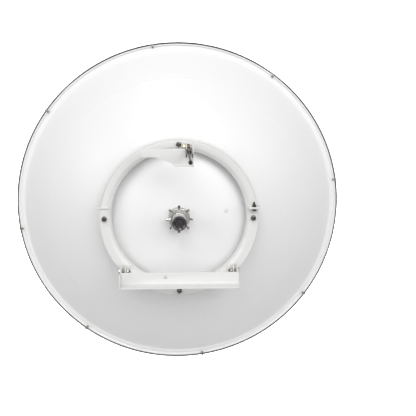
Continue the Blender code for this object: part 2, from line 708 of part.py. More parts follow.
def make_adjuster_rod():
    half = EYE_WALL / 2
    eye = rod("x", -half, half, EYE_RADIUS, (ROD_X, ROD_HEIGHT, ROD_PIVOT_BACK), sides=24)
    shank = rod("z", ROD_PIVOT_BACK + 0.75 * EYE_RADIUS, ROD_END_BACK, ROD_RADIUS, (ROD_X, ROD_HEIGHT, 0))
    hole = rod("x", -EYE_WALL, EYE_WALL, M10["shank"] + HOLE_PLAY, (ROD_X, ROD_HEIGHT, ROD_PIVOT_BACK))
    stem = drilled(fused([eye, shank]), [hole])
    finish(stem, "adjuster_rod", zinc, rod_body)

    cap = rod("z", ROD_END_BACK - CAP_GRIP, ROD_END_BACK - CAP_GRIP + CAP_LENGTH, CAP_RADIUS,
              (ROD_X, ROD_HEIGHT, 0), sides=20)
    bore = rod("z", ROD_END_BACK - 2 * CAP_GRIP, ROD_END_BACK + GAP, ROD_RADIUS + GAP,
               (ROD_X, ROD_HEIGHT, 0))
    finish(drilled(cap, [bore]), "rod_cap", black_rubber, rod_body)


def make_collar():
    """The machined collar on the vertex, whose radial screws clamp the feed."""
    base = DISH_DEPTH + GAP
    bore = FEED_RADIUS + GAP
    chamfer = COLLAR_CHAMFER
    profile = [
        (bore, COLLAR_BACK - chamfer), (bore + chamfer, COLLAR_BACK),
        (COLLAR_RADIUS - chamfer, COLLAR_BACK), (COLLAR_RADIUS, COLLAR_BACK - chamfer),
        (COLLAR_RADIUS, base + COLLAR_BASE), (COLLAR_BASE_RADIUS, base + COLLAR_BASE - BEVEL),
        (COLLAR_BASE_RADIUS, base), (bore, base),
    ]
    collar = turned(profile, steps=40)
    screws = []
    place = (0, 0, COLLAR_SCREW_BACK)
    for number in range(COLLAR_SCREWS):
        angle = 2 * pi * number / COLLAR_SCREWS
        if number == COLLAR_SCREWS // 2:
            port = rod("x", bore + 2 * chamfer, PORT_REACH, PORT_RADIUS, (0, 0, PORT_BACK), sides=18)
            screws.append(turned_about_axis(port, angle))
            continue
        neck = rod("x", COLLAR_RADIUS - 3 * chamfer, SCREW_REACH - BEVEL, SCREW_RADIUS, place, sides=8)
        head = hexagon("x", SCREW_REACH - SCREW_HEAD, SCREW_REACH, SCREW_FLATS, place)
        screws.append(turned_about_axis(fused([head, neck]), angle))
    return finish(fused([collar] + screws), "feed_collar", machined, dish_body)


def make_feed():
    wall = FEED_WALL
    tube = turned([(FEED_RADIUS, SOCKET_FRONT - GAP), (FEED_RADIUS, FEED_FRONT),
                   (FEED_RADIUS - wall, FEED_FRONT), (FEED_RADIUS - wall, SOCKET_FRONT - GAP)], steps=40)
    finish(tube, "feed_tube", machined, feed_body)

    bottom = SOCKET_BACK - SOCKET_RECESS
    pin = bottom + SOCKET_PIN_RISE
    inner = SOCKET_RADIUS - SOCKET_WALL
    socket = turned([
        (0, pin), (SOCKET_PIN_RADIUS, pin), (SOCKET_PIN_RADIUS, bottom),
        (inner, bottom), (inner, SOCKET_BACK), (SOCKET_RADIUS - BEVEL, SOCKET_BACK),
        (SOCKET_RADIUS, SOCKET_BACK - BEVEL), (SOCKET_RADIUS, SOCKET_FRONT), (0, SOCKET_FRONT),
    ], closed=False, steps=40)
    finish(socket, "feed_socket", dark_metal, feed_body)

    neck = FEED_FRONT - GAP
    cone = turned([(0, neck), (FEED_RADIUS, neck), (FEED_RADIUS, neck - CONE_NECK),
                   (CONE_RADIUS, SPLASH_BACK + GAP), (0, SPLASH_BACK + GAP)], closed=False, steps=40)
    finish(cone, "feed_cone", cream_plastic, feed_body)

    front = SPLASH_BACK - SPLASH_WALL
    disc = turned([(0, SPLASH_BACK), (SPLASH_RADIUS - BEVEL, SPLASH_BACK),
                   (SPLASH_RADIUS, SPLASH_BACK - BEVEL), (SPLASH_RADIUS, front + BEVEL),
                   (SPLASH_RADIUS - BEVEL, front), (0, front)], closed=False, steps=48)
    finish(disc, "splash_plate", machined, feed_body)


clear_scene()
antenna = new_collection("microwave_dish_antenna")

white_paint = material("white_paint", (0.83, 0.84, 0.84), 0.35, 0.0)
bare_metal = material("bare_metal", (0.32, 0.30, 0.28), 0.35, 1.0)
zinc = material("zinc", (0.42, 0.41, 0.40), 0.3, 1.0)
yellow_zinc = material("yellow_zinc", (0.52, 0.46, 0.30), 0.35, 1.0)
machined = material("machined_aluminium", (0.72, 0.72, 0.71), 0.28, 1.0)
dark_metal = material("dark_metal", (0.10, 0.09, 0.10), 0.25, 0.6)
black_rubber = material("black_rubber", (0.02, 0.02, 0.02), 0.5, 0.0)
cream_plastic = material("cream_plastic", (0.85, 0.83, 0.76), 0.45, 0.0)

mast_body = empty("mast_side", (-MAST_OFFSET, -AXIS_DROP, SEAT_BACK))
dish_body = empty("elevation_axis", (0, -AXIS_DROP, PIVOT_BACK))
rod_body = empty("rod_axis", (ROD_X, ROD_HEIGHT, ROD_PIVOT_BACK))
feed_body = empty("feed_axis", (0, 0, DISH_DEPTH))

make_reflector()
make_rim_hoop()
make_rim_clips()
make_ring_half(upper=True)
make_ring_half(upper=False)
make_ring_bolts()
make_joint_bolts()
make_pivot_lug(-1, "pivot_lug_left")
make_pivot_lug(1, "pivot_lug_right")
make_top_lug()
make_collar()
make_feed()
make_cross_member()
make_arm(-1, ARM_LEFT, SEAT_BACK + STEEL + CROSS_FLANGE, "arm_left")
make_arm(1, ARM_RIGHT, SEAT_BACK - GAP, "arm_right")
make_pivot_bolt(-1, ARM_LEFT, "pivot_bolt_left")
make_pivot_bolt(1, ARM_RIGHT, "pivot_bolt_right")
make_top_bracket()
make_fork()
make_adjuster_nuts()
make_adjuster_rod()
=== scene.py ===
# %% [markdown]
# Microwave dish antenna, seen from behind
#
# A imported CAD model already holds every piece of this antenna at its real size. This lesson
# gives the pieces their finishes, and models again the ones that a camera sees in close up:
# the turned rim, the threaded fasteners, the collar and the end of the feed.

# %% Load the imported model
from math import cos, degrees, pi, radians, sin, sqrt

import bmesh
import bpy
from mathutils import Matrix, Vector


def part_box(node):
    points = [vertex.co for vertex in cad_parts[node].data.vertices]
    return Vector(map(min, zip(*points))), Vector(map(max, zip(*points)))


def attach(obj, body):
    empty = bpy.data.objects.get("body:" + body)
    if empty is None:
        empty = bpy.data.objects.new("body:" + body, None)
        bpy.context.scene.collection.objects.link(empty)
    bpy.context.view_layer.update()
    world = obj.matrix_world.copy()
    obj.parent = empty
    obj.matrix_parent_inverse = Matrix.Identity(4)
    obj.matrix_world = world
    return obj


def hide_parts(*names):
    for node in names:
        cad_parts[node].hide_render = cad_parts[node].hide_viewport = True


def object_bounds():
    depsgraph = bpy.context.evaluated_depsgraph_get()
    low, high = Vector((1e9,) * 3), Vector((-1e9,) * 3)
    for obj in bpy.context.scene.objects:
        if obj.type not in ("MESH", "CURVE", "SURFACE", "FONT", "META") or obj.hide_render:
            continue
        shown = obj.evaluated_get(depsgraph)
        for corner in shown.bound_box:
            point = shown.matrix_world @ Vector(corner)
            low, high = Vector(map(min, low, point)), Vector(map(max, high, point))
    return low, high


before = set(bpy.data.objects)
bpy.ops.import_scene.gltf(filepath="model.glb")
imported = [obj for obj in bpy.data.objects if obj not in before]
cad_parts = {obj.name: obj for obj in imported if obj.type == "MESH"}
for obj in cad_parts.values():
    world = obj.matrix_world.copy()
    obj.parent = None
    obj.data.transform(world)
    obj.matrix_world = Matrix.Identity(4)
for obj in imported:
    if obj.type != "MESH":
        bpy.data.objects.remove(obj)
cad_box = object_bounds()

# %% [markdown]
# Directions
#
# The dish looks along +Y, so its back faces -Y. Every turned piece shares the dish's axis.
# Its place is read from the feed tube, whose box is centred on that axis, and the depth of
# the rim is read from the reflector. A helper then turns a place on the dish, given as
# right, up and back from the rim, into a place in the scene.

# %% Find the dish's axis and rim
LIP_DEPTH = 0.022
tube_low, tube_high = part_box("feed_tube")
AXIS_X = (tube_low.x + tube_high.x) / 2
AXIS_Z = (tube_low.z + tube_high.z) / 2
RIM_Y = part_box("reflector")[1].y - LIP_DEPTH


def at(right, up, back):
    """A place given from the dish's axis and rim, as a place in the scene."""
    return Vector((AXIS_X + right, RIM_Y - back, AXIS_Z + up))


print("axis", round(AXIS_X, 4), round(AXIS_Z, 4), "rim", round(RIM_Y, 4))

# %% [markdown]
# Camera
#
# The picture is taken from behind the dish, a little to its left and above, with a long
# lens. The camera looks past the dish's side, so the dish sits left of the middle. Depth of
# field stays off, because the whole dish is sharp.

# %% Place the camera
CAMERA_PLACE = (0.0678, -3.5165, 0.9418)
CAMERA_AZIMUTH = radians(-2.29)
CAMERA_ELEVATION = radians(11.2)
FOCAL_LENGTH = 91.84
SENSOR_WIDTH = 36.0
lens = bpy.data.cameras.new("camera")
lens.lens = FOCAL_LENGTH
lens.sensor_width = SENSOR_WIDTH
camera = bpy.data.objects.new("camera", lens)
camera.location = CAMERA_PLACE
camera.rotation_euler = (pi / 2 - CAMERA_ELEVATION, 0, CAMERA_AZIMUTH)
bpy.context.scene.collection.objects.link(camera)
bpy.context.scene.camera = camera
print("camera", CAMERA_PLACE)

# %% [markdown]
# Floor and light
#
# A catalogue picture has a white surround and wide soft lights. A key light and a fill
# light stand behind the camera, one hangs higher, and two wide ones stand at the sides.
# They make the upper part of the convex back bright and leave the lower part, which faces
# the ground, in a soft grey. The floor is one flat sheet, raised behind the dish into a
# curved backdrop, and it has two lights of its own.

# %% Make the floor, its backdrop and the lights
FLOOR_DROP = 1.0
FLOOR_SIZE = 20.0
CURVE_STEPS = 8
CURVE_STEP = 0.5
WALL_HEIGHT = 9.0
SKY_STRENGTH = 0.32
BEAM = 60


def deselect():
    if bpy.context.object and bpy.context.object.mode == "EDIT":
        bpy.ops.object.mode_set(mode="OBJECT")
    bpy.ops.object.select_all(action="DESELECT")


def shader_of(look):
    return look.node_tree.nodes["Principled BSDF"]


def new_look(name, colour, roughness, metallic=0.0, **sockets):
    """A material whose shader has its plain values set on its own sockets."""
    look = bpy.data.materials.new(name)
    look.use_nodes = True
    shader = shader_of(look)
    shader.inputs["Base Color"].default_value = (*colour, 1.0)
    shader.inputs["Roughness"].default_value = roughness
    shader.inputs["Metallic"].default_value = metallic
    for socket, value in sockets.items():
        shader.inputs[socket.replace("_", " ")].default_value = value
    return look


floor_look = new_look("pale_floor", (0.64, 0.64, 0.64), 0.9)
deselect()
bpy.ops.mesh.primitive_plane_add(size=FLOOR_SIZE,
                                 location=(0, -1.0, cad_box[0][2] - FLOOR_DROP))
floor = bpy.context.object
floor.name = "floor"
bpy.ops.object.mode_set(mode="EDIT")
shape = bmesh.from_edit_mesh(floor.data)
for edge in shape.edges:
    edge.select = all(vertex.co.y > 0 for vertex in edge.verts)
shape.select_flush_mode()
bmesh.update_edit_mesh(floor.data)
for step in range(CURVE_STEPS):
    tilt = radians(90 * (step + 0.5) / CURVE_STEPS)
    rise = Vector((0, cos(tilt), sin(tilt))) * CURVE_STEP
    bpy.ops.mesh.extrude_edges_move(TRANSFORM_OT_translate={"value": rise})
bpy.ops.mesh.extrude_edges_move(TRANSFORM_OT_translate={"value": (0, 0, WALL_HEIGHT)})
bpy.ops.object.mode_set(mode="OBJECT")
bpy.ops.object.shade_smooth()
floor.data.materials.append(floor_look)

sky = bpy.data.worlds.new("studio")
sky.use_nodes = True
sky.node_tree.nodes["Background"].inputs["Color"].default_value = (1.0, 1.0, 1.0, 1.0)
sky.node_tree.nodes["Background"].inputs["Strength"].default_value = SKY_STRENGTH
bpy.context.scene.world = sky


def area_light(name, place, target, size, power, spread):
    """A square soft light, turned to face a target. Its beam's spread is in degrees."""
    lamp = bpy.data.lights.new(name, "AREA")
    lamp.shape = "SQUARE"
    lamp.size = size
    lamp.energy = power
    lamp.spread = radians(spread)
    made = bpy.data.objects.new(name, lamp)
    made.location = place
    made.rotation_euler = (Vector(target) - Vector(place)).to_track_quat("-Z", "Y").to_euler()
    bpy.context.scene.collection.objects.link(made)
    return made


middle = at(0, 0, 0.2)
studio_lights = [
    ("key_light", (2.2, -5.2, 3.2), 3.0, 15.4),
    ("fill_light", (-0.9, -5.6, 3.6), 3.0, 9.0),
    ("top_light", (-0.6, -3.8, 5.1), 3.0, 12.5),
    ("left_light", (-4.6, -3.6, 1.8), 4.0, 16.5),
    ("right_light", (4.5, -3.8, 1.6), 4.0, 11.5),
]
for name, spot, size, power in studio_lights:
    area_light(name, spot, middle, size, power, BEAM)
backdrop_lights = [
    area_light("floor_light", (0.0, 6.2, 5.0), (0.0, 6.2, -1.0), 4.0, 600, 75),
    area_light("wall_light", (0.0, 6.5, 3.2), (0.0, 12.0, 0.6), 4.0, 560, 150),
]
lit_floor = bpy.data.collections.new("lit_floor")
lit_floor.objects.link(floor)
for lamp in backdrop_lights:
    lamp.light_linking.receiver_collection = lit_floor
bpy.context.scene.view_settings.view_transform = "Standard"
print("floor", round(floor.location.z, 3), "lights", len(bpy.data.lights))

# %% [markdown]
# Shared effects
#
# White enamel, bare metal and machined metal each need a little unevenness. The patterns
# that several finishes share are node groups that put out masks and heights, and the
# shader itself stays in each material. Paint has a fine orange peel and wide soft changes
# of tone, a worn metal has blotches and specks, and a turned piece has fine rings.

# %% Build the node groups
def new_group(name, inputs, outputs):
    """An empty shader node group with named inputs and float outputs."""
    group = bpy.data.node_groups.new(name, "ShaderNodeTree")
    for socket, value in inputs.items():
        if socket == "Vector":
            group.interface.new_socket(socket, in_out="INPUT", socket_type="NodeSocketVector")
            continue
        made = group.interface.new_socket(socket, in_out="INPUT", socket_type="NodeSocketFloat")
        made.default_value = value
    for socket in outputs:
        group.interface.new_socket(socket, in_out="OUTPUT", socket_type="NodeSocketFloat")
    source = group.nodes.new("NodeGroupInput")
    sink = group.nodes.new("NodeGroupOutput")
    return group, source, sink


def noise(tree, vector, scale, detail=3.0, roughness=0.5):
    node = tree.nodes.new("ShaderNodeTexNoise")
    node.inputs["Detail"].default_value = detail
    node.inputs["Roughness"].default_value = roughness
    tree.links.new(vector, node.inputs["Vector"])
    if isinstance(scale, float):
        node.inputs["Scale"].default_value = scale
    else:
        tree.links.new(scale, node.inputs["Scale"])
    return node.outputs["Fac"]


def ramp(tree, value, low, high, out_low=0.0, out_high=1.0):
    node = tree.nodes.new("ShaderNodeMapRange")
    node.interpolation_type = "SMOOTHSTEP"
    node.inputs["From Min"].default_value = low
    node.inputs["From Max"].default_value = high
    node.inputs["To Min"].default_value = out_low
    node.inputs["To Max"].default_value = out_high
    tree.links.new(value, node.inputs["Value"])
    return node.outputs["Result"]


def maths(tree, operation, first, second=None):
    node = tree.nodes.new("ShaderNodeMath")
    node.operation = operation
    for socket, value in zip(node.inputs, (first, second)):
        if value is None:
            continue
        if isinstance(value, (int, float)):
            socket.default_value = value
        else:
            tree.links.new(value, socket)
    return node.outputs["Value"]


def make_paint_skin():
    """Orange peel height, wide changes of tone, and dust on what faces up."""
    group, source, sink = new_group(
        "paint_skin", {"Vector": 0, "Peel Scale": 420.0, "Tone Scale": 2.6},
        ["Peel", "Tone", "Dust"])
    vector = source.outputs["Vector"]
    peel = noise(group, vector, source.outputs["Peel Scale"], 2.0)
    tone = noise(group, vector, source.outputs["Tone Scale"], 3.0)
    normal = group.nodes.new("ShaderNodeNewGeometry")
    parts = group.nodes.new("ShaderNodeSeparateXYZ")
    group.links.new(normal.outputs["Normal"], parts.inputs["Vector"])
    upward = ramp(group, parts.outputs["Z"], 0.55, 1.0)
    specks = ramp(group, noise(group, vector, 90.0, 6.0, 0.7), 0.46, 0.72)
    group.links.new(peel, sink.inputs["Peel"])
    group.links.new(tone, sink.inputs["Tone"])
    group.links.new(maths(group, "MULTIPLY", upward, specks), sink.inputs["Dust"])
    return group


def make_worn_metal():
    """Blotches, fine specks and scratches on a bare or plated metal."""
    group, source, sink = new_group(
        "worn_metal", {"Vector": 0, "Blotch Scale": 60.0, "Speck Scale": 900.0},
        ["Blotch", "Speck", "Scratch"])
    vector = source.outputs["Vector"]
    blotches = noise(group, vector, source.outputs["Blotch Scale"], 5.0, 0.6)
    blotch = ramp(group, blotches, 0.35, 0.68)
    specks = noise(group, vector, source.outputs["Speck Scale"], 2.0)
    speck = ramp(group, specks, 0.55, 0.75)
    stretch = group.nodes.new("ShaderNodeMapping")
    stretch.inputs["Scale"].default_value = (1.0, 0.04, 1.0)
    stretch.inputs["Rotation"].default_value = (0.5, 0.3, 0.9)
    group.links.new(vector, stretch.inputs["Vector"])
    scratches = noise(group, stretch.outputs["Vector"], 1400.0, 2.0)
    scratch = ramp(group, scratches, 0.6, 0.72)
    group.links.new(blotch, sink.inputs["Blotch"])
    group.links.new(speck, sink.inputs["Speck"])
    group.links.new(scratch, sink.inputs["Scratch"])
    return group


def make_turned_rings():
    """Fine rings about the Y axis, with a slow wander, as a lathe leaves them."""
    group, source, sink = new_group(
        "turned_rings", {"Vector": 0, "Spacing": 0.001}, ["Rings", "Band"])
    vector = source.outputs["Vector"]
    flat = group.nodes.new("ShaderNodeVectorMath")
    flat.operation = "MULTIPLY"
    flat.inputs[1].default_value = (1.0, 0.0, 1.0)
    group.links.new(vector, flat.inputs[0])
    size = group.nodes.new("ShaderNodeVectorMath")
    size.operation = "LENGTH"
    group.links.new(flat.outputs["Vector"], size.inputs[0])
    radius = size.outputs["Value"]
    turns = maths(group, "DIVIDE", radius, source.outputs["Spacing"])
    wave = maths(group, "SINE", maths(group, "MULTIPLY", turns, 2 * pi))
    group.links.new(ramp(group, wave, -1.0, 1.0), sink.inputs["Rings"])
    wander = group.nodes.new("ShaderNodeTexNoise")
    wander.noise_dimensions = "1D"
    wander.inputs["Scale"].default_value = 1.0
    wander.inputs["Detail"].default_value = 4.0
    group.links.new(maths(group, "MULTIPLY", turns, 0.11), wander.inputs["W"])
    group.links.new(ramp(group, wander.outputs["Fac"], 0.3, 0.7), sink.inputs["Band"])
    return group


paint_skin = make_paint_skin()
worn_metal = make_worn_metal()
turned_rings = make_turned_rings()
print("groups", [group.name for group in (paint_skin, worn_metal, turned_rings)])

# %% [markdown]
# Finishes
#
# The dish and its steelwork are white powder coat, glossy enough to catch the studio light.
# The hoop is bare rolled aluminium. Its brown-grey tint is its own, but its near-black depth is
# a painted reflection of dark surroundings. The nuts are dull bronze plated, one nut is yellow
# plated, and the collar is bright machined aluminium. Each finish starts from its shader's
# plain values. Small helpers then place a group, mix two colours by a mask, and raise a bump,
# so that a material reads as a short recipe.

# %% Write the material helpers
def object_vector(look, centre=None):
    """Object coordinates, moved so that the pattern is centred on a place."""
    tree = look.node_tree
    source = tree.nodes.new("ShaderNodeTexCoord")
    if centre is None:
        return source.outputs["Object"]
    shift = tree.nodes.new("ShaderNodeMapping")
    shift.inputs["Location"].default_value = -Vector(centre)
    tree.links.new(source.outputs["Object"], shift.inputs["Vector"])
    return shift.outputs["Vector"]


def use_group(look, group, vector, **values):
    node = look.node_tree.nodes.new("ShaderNodeGroup")
    node.node_tree = group
    look.node_tree.links.new(vector, node.inputs["Vector"])
    for socket, value in values.items():
        node.inputs[socket.replace("_", " ")].default_value = value
    return node.outputs


def mix_colour(look, mask, first, second):
    """One colour where the mask is 0 and another where it is 1. Either may be a socket."""
    tree = look.node_tree
    node = tree.nodes.new("ShaderNodeMix")
    node.data_type = "RGBA"
    tree.links.new(mask, node.inputs["Factor"])
    colours = [socket for socket in node.inputs if socket.type == "RGBA"]
    for socket, value in zip(colours, (first, second)):
        if isinstance(value, tuple):
            socket.default_value = (*value, 1.0)
        else:
            tree.links.new(value, socket)
    return next(socket for socket in node.outputs if socket.type == "RGBA")


def paint_with(look, socket, value):
    look.node_tree.links.new(value, shader_of(look).inputs[socket])


def raise_bump(look, height, distance, strength=1.0, before=None):
    """A bump from a height. Several are chained by passing the last one's normal."""
    tree = look.node_tree
    bump = tree.nodes.new("ShaderNodeBump")
    bump.inputs["Distance"].default_value = distance
    bump.inputs["Strength"].default_value = strength
    tree.links.new(height, bump.inputs["Height"])
    if before is not None:
        tree.links.new(before, bump.inputs["Normal"])
    tree.links.new(bump.outputs["Normal"], shader_of(look).inputs["Normal"])
    return bump.outputs["Normal"]


print("helpers ready")

# %% [markdown]
# White paint
#
# One recipe covers the dish, the ring, the lugs and the cradle. The paint is a little
# darker in wide patches, and dust has settled on faces that look up. The dish also gets
# faint rings from its spinning, about its own axis.

# %% Make the white paints
DARKER = 0.985
DUST_TINT = (0.90, 0.885, 0.85)
DUST_AMOUNT = 0.35


def white_finish(name, colour, roughness, peel, coat, rings=None):
    """White powder coat with orange peel, patches of tone, dust and, if spun, rings."""
    look = new_look(name, colour, roughness, Coat_Weight=coat, Coat_Roughness=0.12)
    skin = use_group(look, paint_skin, object_vector(look))
    darker = tuple(DARKER * value for value in colour)
    dusty = tuple(value * tint for value, tint in zip(colour, DUST_TINT))
    base = mix_colour(look, skin["Tone"], darker, colour)
    dust = maths(look.node_tree, "MULTIPLY", skin["Dust"], DUST_AMOUNT)
    paint_with(look, "Base Color", mix_colour(look, dust, base, dusty))
    rough = ramp(look.node_tree, skin["Peel"], 0.2, 0.8, roughness * 0.9, roughness * 1.1)
    paint_with(look, "Roughness", rough)
    normal = raise_bump(look, skin["Peel"], peel, 0.35)
    if rings:
        turning = use_group(look, turned_rings, object_vector(look, at(0, 0, 0)), Spacing=rings)
        raise_bump(look, turning["Band"], 0.00025, 0.5, normal)
    return look


dish_paint = white_finish("dish_paint", (0.86, 0.86, 0.86), 0.42, 0.00005, 0.10, rings=0.004)
steel_paint = white_finish("steel_paint", (0.75, 0.75, 0.74), 0.40, 0.00008, 0.15)
print("paints", dish_paint.name, steel_paint.name)

# %% [markdown]
# Metals
#
# Bare and plated metal is never one tone. Blotches mix two colours, specks darken small
# pits, and roughness follows the same masks, so that highlights break up. Machined pieces
# add rings about the dish's axis.

# %% Make the metals, the plastics and the rubber
PIT_TONE = 0.55


def metal_finish(name, bright, dull, roughness, blotch, metallic=1.0, rings=None,
                 depth=0.00003):
    """Metal in two tones, with pits, scratches and, where it is turned, fine rings."""
    look = new_look(name, bright, roughness, metallic)
    tree = look.node_tree
    wear = use_group(look, worn_metal, object_vector(look), Blotch_Scale=blotch)
    base = mix_colour(look, wear["Blotch"], bright, dull)
    pits = tuple(PIT_TONE * value for value in dull)
    base = mix_colour(look, maths(tree, "MULTIPLY", wear["Speck"], 0.5), base, pits)
    paint_with(look, "Base Color", base)
    rough = ramp(tree, wear["Blotch"], 0.0, 1.0, roughness * 0.75, roughness * 1.3)
    paint_with(look, "Roughness", rough)
    normal = raise_bump(look, wear["Scratch"], depth, 0.3)
    if rings:
        turning = use_group(look, turned_rings, object_vector(look, at(0, 0, 0)), Spacing=rings)
        raise_bump(look, turning["Rings"], 0.00004, 0.4, normal)
    return look


# The hoop's brown-grey tint is its own. Its near-black base is a painted reflection of dark
# surroundings, not bare aluminium's colour.
hoop_painted_reflection = metal_finish("hoop_painted_reflection", (0.040, 0.032, 0.027), (0.014, 0.012, 0.011), 0.38,
                          blotch=22.0, metallic=0.3)
clip_plate = metal_finish("clip_plate", (0.50, 0.47, 0.43), (0.30, 0.28, 0.25), 0.38,
                          blotch=160.0)
bronze_plate = metal_finish("bronze_plate", (0.36, 0.33, 0.30), (0.050, 0.044, 0.040), 0.24,
                            blotch=260.0)
yellow_plate = metal_finish("yellow_plate", (0.62, 0.55, 0.34), (0.36, 0.32, 0.20), 0.36,
                            blotch=160.0)
machined = metal_finish("machined_aluminium", (0.76, 0.76, 0.745), (0.66, 0.65, 0.63), 0.33,
                        blotch=35.0, rings=0.0011, depth=0.00001)
contact_metal = metal_finish("contact_metal", (0.42, 0.42, 0.45), (0.26, 0.25, 0.29), 0.25,
                             blotch=200.0)
blued_steel = metal_finish("blued_steel", (0.20, 0.25, 0.32), (0.10, 0.12, 0.16), 0.25,
                           blotch=200.0)
feed_dark = metal_finish("feed_dark", (0.160, 0.145, 0.152), (0.080, 0.070, 0.076), 0.24,
                         blotch=120.0, metallic=0.75, rings=0.0009)


def moulded_finish(name, colour, shade, roughness, grain):
    """Moulded plastic or rubber in two close tones, with a fine grain."""
    look = new_look(name, colour, roughness)
    tree = look.node_tree
    skin = use_group(look, paint_skin, object_vector(look), Peel_Scale=grain, Tone_Scale=30.0)
    paint_with(look, "Base Color", mix_colour(look, skin["Tone"], shade, colour))
    rough = ramp(tree, skin["Peel"], 0.3, 0.7, roughness * 0.85, roughness * 1.15)
    paint_with(look, "Roughness", rough)
    raise_bump(look, skin["Peel"], 0.00008, 0.5)
    return look


cap_rubber = moulded_finish(
    "cap_rubber", (0.006, 0.006, 0.007), (0.012, 0.012, 0.012), 0.50, 1500.0)
plug_plastic = moulded_finish(
    "plug_plastic", (0.76, 0.765, 0.765), (0.72, 0.725, 0.725), 0.45, 900.0)
cone_plastic = moulded_finish(
    "cone_plastic", (0.85, 0.83, 0.76), (0.80, 0.77, 0.69), 0.42, 700.0)
print("metals and mouldings", len(bpy.data.materials))

# %% [markdown]
# Finishes on the model
#
# Every CAD node gets its finish, also the ones that a finer piece will stand in for later.
# The names say what a node is on the real antenna, so a few name starts cover the repeats.

# %% Give each CAD node its finish
def give(look, *names):
    for name in names:
        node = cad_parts[name]
        node.data.materials.clear()
        node.data.materials.append(look)


def named(start):
    return [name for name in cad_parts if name.startswith(start)]


give(dish_paint, "reflector")
give(steel_paint, "ring_upper", "ring_lower", "top_lug", "top_bracket", "cross_member",
     *named("standoff_"), *named("pivot_lug_"), *named("arm_"))
give(hoop_painted_reflection, "rim_hoop")
give(clip_plate, *named("rim_clip_"))
give(bronze_plate, "adjuster_fork", "adjuster_rod", *named("ring_bolt_"),
     *named("joint_bolt_"), *named("pivot_bolt_"), *named("adjuster_nut_"))
give(yellow_plate, "top_pivot_bolt")
give(machined, "feed_collar", "feed_tube", "splash_plate")
give(feed_dark, "feed_socket")
give(cone_plastic, "feed_cone")
give(cap_rubber, "rod_cap")
print("finished nodes", len(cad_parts))

# %% [markdown]
# Modelling helpers
#
# Each new piece starts as a primitive and is shaped in edit mode. A turned piece starts as
# a small plane merged to one corner. That corner is extruded along half the section, and
# the section is spun about the axis. This gives the same form as a lathe, and the section
# stays a readable list of radii and depths.

# %% Write the modelling helpers
MERGE = 0.000004
SMOOTH = 35


def pick(piece):
    """Selects one piece alone and makes it the active one."""
    deselect()
    piece.select_set(True)
    bpy.context.view_layer.objects.active = piece


def copy_of(piece):
    """A copy of a piece, with a mesh of its own."""
    pick(piece)
    bpy.ops.object.duplicate()
    return bpy.context.object


def edit(piece):
    """Opens a piece in edit mode with all of its mesh selected."""
    pick(piece)
    bpy.ops.object.mode_set(mode="EDIT")
    bpy.ops.mesh.select_all(action="SELECT")


def apply_place(piece):
    """Puts a piece's place, turn and size into its mesh."""
    pick(piece)
    bpy.ops.object.transform_apply(location=True, rotation=True, scale=True)


def apply_modifiers(piece):
    pick(piece)
    for modifier in list(piece.modifiers):
        bpy.ops.object.modifier_apply(modifier=modifier.name)


def close_up(piece):
    """Merges doubled corners and points every face outwards."""
    edit(piece)
    bpy.ops.mesh.remove_doubles(threshold=MERGE)
    bpy.ops.mesh.normals_make_consistent(inside=False)
    bpy.ops.object.mode_set(mode="OBJECT")


def dress(piece, name, look, body, smooth, *replaced):
    """Names and paints a finished piece, hangs it on its body and hides what it stands for."""
    piece.name = name
    piece.data.name = name
    piece.data.materials.clear()
    piece.data.materials.append(look)
    pick(piece)
    bpy.ops.object.shade_smooth_by_angle(angle=radians(smooth))
    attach(piece, body)
    if replaced:
        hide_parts(*replaced)
    print(name, "faces", len(piece.data.polygons))
    return piece


def place(piece, spot, turn):
    """Moves a piece that was made about Z at the origin to its spot, with a turn in degrees."""
    piece.location = spot
    piece.rotation_euler = [radians(angle) for angle in turn]
    apply_place(piece)
    return piece


def softened(node, name, width, look, body):
    """A copy of a CAD node with its edges rounded, as on cut and painted steel."""
    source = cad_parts[node]
    piece = bpy.data.objects.new(name, source.data.copy())
    piece.matrix_world = source.matrix_world.copy()
    bpy.context.scene.collection.objects.link(piece)
    apply_place(piece)
    close_up(piece)
    bpy.ops.mesh.customdata_custom_splitnormals_clear()
    edit(piece)
    bpy.ops.mesh.dissolve_limited(angle_limit=radians(1))
    bpy.ops.object.mode_set(mode="OBJECT")
    edge = piece.modifiers.new("edge", "BEVEL")
    edge.width = width
    edge.segments = 3
    edge.limit_method = "ANGLE"
    edge.angle_limit = radians(30)
    apply_modifiers(piece)
    close_up(piece)
    return dress(piece, name, look, body, SMOOTH, node)


def spun(profile, steps, closed=False):
    """Extrudes half a section of (radius, height) points and spins it about Z."""
    deselect()
    radius, height = profile[0]
    bpy.ops.mesh.primitive_plane_add(size=0.001, location=(radius, 0, height))
    piece = bpy.context.object
    apply_place(piece)
    edit(piece)
    bpy.ops.mesh.merge(type="CENTER")
    points = profile + profile[:1] if closed else profile
    for (radius, height), (next_radius, next_height) in zip(points, points[1:]):
        step = (next_radius - radius, 0, next_height - height)
        bpy.ops.mesh.extrude_vertices_move(TRANSFORM_OT_translate={"value": step})
    bpy.ops.mesh.select_all(action="SELECT")
    bpy.ops.mesh.spin(steps=steps, angle=2 * pi, center=(0, 0, 0), axis=(0, 0, 1))
    bpy.ops.object.mode_set(mode="OBJECT")
    close_up(piece)
    return piece


def turned(profile, steps, closed=False):
    """A spun piece whose heights run backwards from the rim, on the dish's axis."""
    return place(spun(profile, steps, closed), at(0, 0, 0), (90, 0, 0))


def spaced(first, last, steps):
    """Evenly spaced values from the first to the last."""
    return [first - (first - last) * step / steps for step in range(steps + 1)]


def round_corner(centre, radius, start, end, steps):
    """Points of a rounded corner in a section, from one angle to another in degrees."""
    angles = [radians(angle) for angle in spaced(start, end, steps)]
    return [(centre[0] + radius * cos(angle), centre[1] + radius * sin(angle))
            for angle in angles]


print("pieces are smoothed up to", SMOOTH, "degrees")

